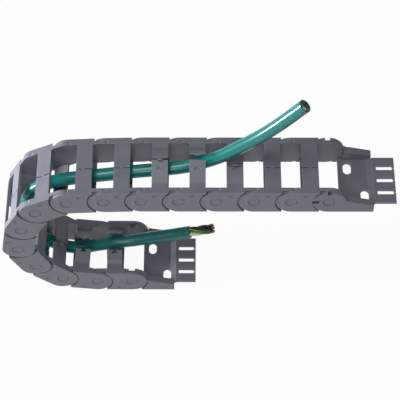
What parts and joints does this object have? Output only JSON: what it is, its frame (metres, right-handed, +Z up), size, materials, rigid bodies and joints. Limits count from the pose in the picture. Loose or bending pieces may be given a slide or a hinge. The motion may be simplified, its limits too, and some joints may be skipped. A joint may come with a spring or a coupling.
{
  "type": "cable drag chain",
  "caption": "Plastic cable drag chain of two-part links with flexible split crossbars, pinned link to link, with end brackets, combs and one cable.",
  "frame": {"origin": "centre of the fixed end bracket's base, between its two slots, on the face that is screwed down", "axes": "+X along the travel, from the bend towards the comb of each bracket; +Y across the chain; +Z up"},
  "size_m": [0.2697, 0.045, 0.1937],
  "materials": {
    "link_plastic": "moulded, satin",
    "bracket_plastic": "moulded, satin",
    "cable_jacket": "extruded, semi-gloss",
    "core_black": "extruded",
    "core_earth": "extruded, two colours",
    "core_white": "extruded",
    "core_grey": "extruded"
  },
  "bodies": {
    "fixed_end": {"fixed_end_bracket": "bracket_plastic", "cable_jacket": "cable_jacket", "core_black_upper": "core_black", "core_black_lower": "core_black", "core_earth": "core_earth", "core_white": "core_white", "core_grey": "core_grey"},
    "link_01": {"link_01_left": "link_plastic", "link_01_right": "link_plastic"},
    "link_02": {"link_02_left": "link_plastic", "link_02_right": "link_plastic"},
    "link_03": {"link_03_left": "link_plastic", "link_03_right": "link_plastic"},
    "link_04": {"link_04_left": "link_plastic", "link_04_right": "link_plastic"},
    "link_05": {"link_05_left": "link_plastic", "link_05_right": "link_plastic"},
    "link_06": {"link_06_left": "link_plastic", "link_06_right": "link_plastic"},
    "link_07": {"link_07_left": "link_plastic", "link_07_right": "link_plastic"},
    "link_08": {"link_08_left": "link_plastic", "link_08_right": "link_plastic"},
    "link_09": {"link_09_left": "link_plastic", "link_09_right": "link_plastic"},
    "link_10": {"link_10_left": "link_plastic", "link_10_right": "link_plastic"},
    "link_11": {"link_11_left": "link_plastic", "link_11_right": "link_plastic"},
    "link_12": {"link_12_left": "link_plastic", "link_12_right": "link_plastic", "cable_tail": "cable_jacket"},
    "link_13": {"link_13_left": "link_plastic", "link_13_right": "link_plastic"},
    "link_14": {"link_14_left": "link_plastic", "link_14_right": "link_plastic"},
    "moving_end": {"moving_end_bracket": "bracket_plastic"}
  },
  "joints": [
    {"name": "joint_01", "type": "hinge", "parent": "fixed_end", "child": "link_01", "pos_m": [-0.0195, 0, 0.01115], "axis": [0, 1, 0], "range_deg": [0, 38], "deforming": ["cable_jacket"]},
    {"name": "joint_02", "type": "hinge", "parent": "link_01", "child": "link_02", "pos_m": [-0.0445, 0, 0.01115], "axis": [0, 1, 0], "range_deg": [-9, 29], "deforming": ["cable_jacket"]},
    {"name": "joint_03", "type": "hinge", "parent": "link_02", "child": "link_03", "pos_m": [-0.06919, 0, 0.01506], "axis": [0, 1, 0], "range_deg": [-35, 3], "deforming": ["cable_jacket"]},
    {"name": "joint_04", "type": "hinge", "parent": "link_03", "child": "link_04", "pos_m": [-0.08718, 0, 0.03243], "axis": [0, 1, 0], "range_deg": [-22, 16], "deforming": ["cable_jacket"]},
    {"name": "joint_05", "type": "hinge", "parent": "link_04", "child": "link_05", "pos_m": [-0.09734, 0, 0.05527], "axis": [0, 1, 0], "range_deg": [-34, 4], "deforming": ["cable_jacket"]},
    {"name": "joint_06", "type": "hinge", "parent": "link_05", "child": "link_06", "pos_m": [-0.093, 0, 0.07989], "axis": [0, 1, 0], "range_deg": [-18, 20], "deforming": ["cable_jacket"]},
    {"name": "joint_07", "type": "hinge", "parent": "link_06", "child": "link_07", "pos_m": [-0.08127, 0, 0.10196], "axis": [0, 1, 0], "range_deg": [-33, 0], "deforming": ["cable_jacket"]},
    {"name": "joint_08", "type": "hinge", "parent": "link_07", "child": "link_08", "pos_m": [-0.0594, 0, 0.11408], "axis": [0, 1, 0], "range_deg": [-25, 9], "deforming": ["cable_jacket"]},
    {"name": "joint_09", "type": "hinge", "parent": "link_08", "child": "link_09", "pos_m": [-0.03446, 0, 0.11582], "axis": [0, 1, 0], "range_deg": [-2, 35], "deforming": ["cable_jacket"]},
    {"name": "joint_10", "type": "hinge", "parent": "link_09", "child": "link_10", "pos_m": [-0.00948, 0, 0.1167], "axis": [0, 1, 0], "range_deg": [-2, 22], "deforming": ["cable_jacket"]},
    {"name": "joint_11", "type": "hinge", "parent": "link_10", "child": "link_11", "pos_m": [0.01552, 0, 0.1167], "axis": [0, 1, 0], "range_deg": [0, 34], "deforming": ["cable_jacket"]},
    {"name": "joint_12", "type": "hinge", "parent": "link_11", "child": "link_12", "pos_m": [0.04052, 0, 0.1167], "axis": [0, 1, 0], "range_deg": [0, 18], "deforming": ["cable_jacket"]},
    {"name": "joint_13", "type": "hinge", "parent": "link_12", "child": "link_13", "pos_m": [0.06552, 0, 0.1167], "axis": [0, -1, 0], "range_deg": [-38, 0]},
    {"name": "joint_14", "type": "hinge", "parent": "link_13", "child": "link_14", "pos_m": [0.09052, 0, 0.1167], "axis": [0, -1, 0], "range_deg": [-38, 0]},
    {"name": "joint_15", "type": "hinge", "parent": "link_14", "child": "moving_end", "pos_m": [0.11552, 0, 0.1167], "axis": [0, -1, 0], "range_deg": [-38, 0]}
  ],
  "couplings": [
    {"joint": "joint_01", "follows": "joint_07", "ratio": -1},
    {"joint": "joint_02", "follows": "joint_08", "ratio": -1},
    {"joint": "joint_03", "follows": "joint_09", "ratio": -1},
    {"joint": "joint_04", "follows": "joint_10", "ratio": -1},
    {"joint": "joint_05", "follows": "joint_11", "ratio": -1},
    {"joint": "joint_06", "follows": "joint_12", "ratio": -1}
  ]
}
